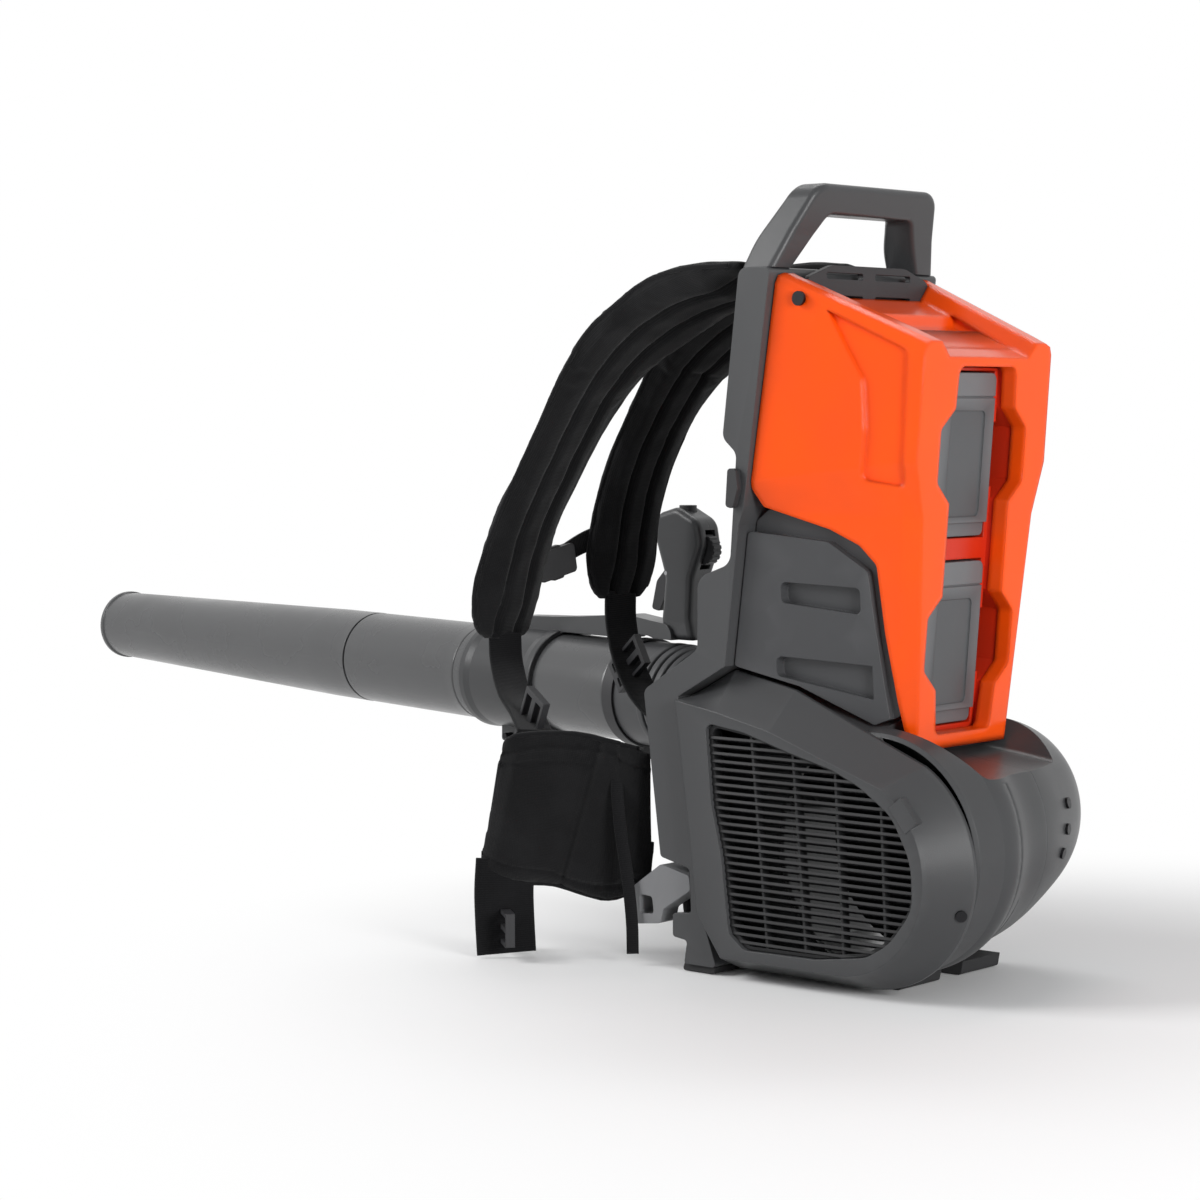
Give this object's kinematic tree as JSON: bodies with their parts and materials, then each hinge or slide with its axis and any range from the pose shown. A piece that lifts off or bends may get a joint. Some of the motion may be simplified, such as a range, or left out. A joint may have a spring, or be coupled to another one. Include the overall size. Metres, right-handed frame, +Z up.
{
  "type": "backpack leaf blower",
  "caption": "Battery backpack leaf blower with orange battery cover, louvred fan intake, ribbed hose, blower tube with control handle, padded shoulder straps and hip belt.",
  "frame": {"origin": "on the floor under the front foot strip, on the mid-plane of the frame", "axes": "+X to the rear face with the batteries (the tube points to -X), +Y to the wearer's right, +Z up"},
  "size_m": [1.4332, 0.5125, 0.6324],
  "materials": {
    "dark_shell": "satin",
    "black_shell": "matte",
    "grey_shell": "satin",
    "orange_shell": "gloss",
    "battery_grey": "satin",
    "latch_dark": "satin",
    "tube_plastic": "satin",
    "hose_rubber": "matte",
    "foot_rubber": "matte",
    "pad_fabric": "matte",
    "webbing_fabric": "matte",
    "steel": "satin",
    "aluminium_cast": "satin",
    "copper_contacts": "satin"
  },
  "bodies": {
    "machine": {"back_frame": "dark_shell", "carry_handle": "dark_shell", "top_vent_grille": "black_shell", "strap_anchors": "black_shell", "battery_cover": "orange_shell", "cover_screws": "steel", "battery_dock": "orange_shell", "dock_terminals": "copper_contacts", "side_panel_left": "grey_shell", "side_panel_right": "grey_shell", "fan_housing_left": "dark_shell", "fan_housing_right": "dark_shell", "fan_scroll": "black_shell", "outlet_duct": "black_shell", "inlet_ring": "black_shell", "shaft_bearings": "steel", "motor": "steel", "motor_mount": "aluminium_cast", "intake_cover": "dark_shell", "intake_grille": "black_shell", "front_foot": "foot_rubber", "rear_feet": "foot_rubber", "electronics_box": "aluminium_cast", "hose_clamp_rear": "black_shell", "shoulder_pad_left": "pad_fabric", "shoulder_pad_right": "pad_fabric", "shoulder_webbing_left": "webbing_fabric", "shoulder_webbing_right": "webbing_fabric", "strap_adjusters": "black_shell", "chest_strap": "webbing_fabric", "chest_buckle": "black_shell", "hip_wing_left": "pad_fabric", "hip_wing_right": "pad_fabric", "lumbar_pad": "pad_fabric", "belt_webbing": "webbing_fabric", "belt_buckle": "black_shell", "belt_hook": "black_shell", "frame_screws": "steel", "housing_screws": "steel"},
    "fan": {"fan_impeller": "black_shell", "fan_shaft": "steel"},
    "lower_pack": {"battery_lower": "battery_grey"},
    "upper_pack": {"battery_upper": "battery_grey"},
    "lower_latch_left": {"latch_lower_left": "latch_dark"},
    "lower_latch_right": {"latch_lower_right": "latch_dark"},
    "upper_latch_left": {"latch_upper_left": "latch_dark"},
    "upper_latch_right": {"latch_upper_right": "latch_dark"},
    "hose": {"bellows_hose": "hose_rubber"},
    "hose_end": {"hose_clamp_front": "black_shell"},
    "tube": {"swivel_tube": "tube_plastic", "middle_tube": "tube_plastic"},
    "outlet_nozzle": {"nozzle": "tube_plastic"},
    "handle": {"handle_collar": "dark_shell", "collar_clamp_bolt": "steel", "handle_shell_left": "dark_shell", "handle_shell_right": "dark_shell", "trigger_pin": "steel"},
    "trigger": {"throttle_trigger": "black_shell"},
    "dial": {"cruise_dial": "black_shell"},
    "button": {"power_button": "orange_shell"}
  },
  "joints": [
    {"name": "fan_spin", "type": "hinge", "parent": "machine", "child": "fan", "pos_m": [0.163, 0, 0.108], "axis": [0, 1, 0], "continuous": true},
    {"name": "battery_lower_slide", "type": "slide", "parent": "machine", "child": "lower_pack", "axis": [0.9971, 0, -0.0767], "range_m": [0, 0.13]},
    {"name": "battery_upper_slide", "type": "slide", "parent": "machine", "child": "upper_pack", "axis": [0.9971, 0, -0.0767], "range_m": [0, 0.13]},
    {"name": "latch_lower_left_press", "type": "slide", "parent": "lower_pack", "child": "lower_latch_left", "axis": [0, 1, 0], "range_m": [0, 0.003], "stiffness_N_per_m": 400},
    {"name": "latch_lower_right_press", "type": "slide", "parent": "lower_pack", "child": "lower_latch_right", "axis": [0, -1, 0], "range_m": [0, 0.003], "stiffness_N_per_m": 400},
    {"name": "latch_upper_left_press", "type": "slide", "parent": "upper_pack", "child": "upper_latch_left", "axis": [0, 1, 0], "range_m": [0, 0.003], "stiffness_N_per_m": 400},
    {"name": "latch_upper_right_press", "type": "slide", "parent": "upper_pack", "child": "upper_latch_right", "axis": [0, -1, 0], "range_m": [0, 0.003], "stiffness_N_per_m": 400},
    {"name": "hose_yaw", "type": "hinge", "parent": "machine", "child": "hose", "pos_m": [-0.185, 0.121, 0.178], "axis": [0, 0, 1], "range_deg": [-12, 12], "deforming": ["bellows_hose"]},
    {"name": "hose_pitch", "type": "hinge", "parent": "hose", "child": "hose_end", "pos_m": [-0.185, 0.121, 0.178], "axis": [0.1564, 0.9877, 0], "range_deg": [-16, 22]},
    {"name": "tube_roll", "type": "hinge", "parent": "hose_end", "child": "tube", "pos_m": [-0.325, 0.158, 0.192], "axis": [-0.9876, 0.1564, 0.014], "range_deg": [-5, 35]},
    {"name": "handle_slide", "type": "slide", "parent": "tube", "child": "handle", "axis": [-0.9876, 0.1564, 0.014], "range_m": [-0.004, 0.01]},
    {"name": "nozzle_twist", "type": "hinge", "parent": "tube", "child": "outlet_nozzle", "pos_m": [-0.72004, 0.22057, 0.19758], "axis": [-0.9876, 0.1564, 0.014], "range_deg": [0, 20]},
    {"name": "trigger_pull", "type": "hinge", "parent": "handle", "child": "trigger", "pos_m": [-0.234, 0.15, 0.304], "axis": [0, -1, 0], "range_deg": [0, 13], "stiffness_Nm_per_rad": 0.12},
    {"name": "dial_turn", "type": "hinge", "parent": "handle", "child": "dial", "pos_m": [-0.199, 0.15, 0.326], "axis": [0, 1, 0], "range_deg": [0, 150]},
    {"name": "power_press", "type": "slide", "parent": "handle", "child": "button", "axis": [0, 0, -1], "range_m": [0, 0.003], "stiffness_N_per_m": 300}
  ],
  "couplings": [
    {"joint": "latch_lower_right_press", "follows": "latch_lower_left_press", "ratio": 1},
    {"joint": "latch_upper_right_press", "follows": "latch_upper_left_press", "ratio": 1}
  ]
}
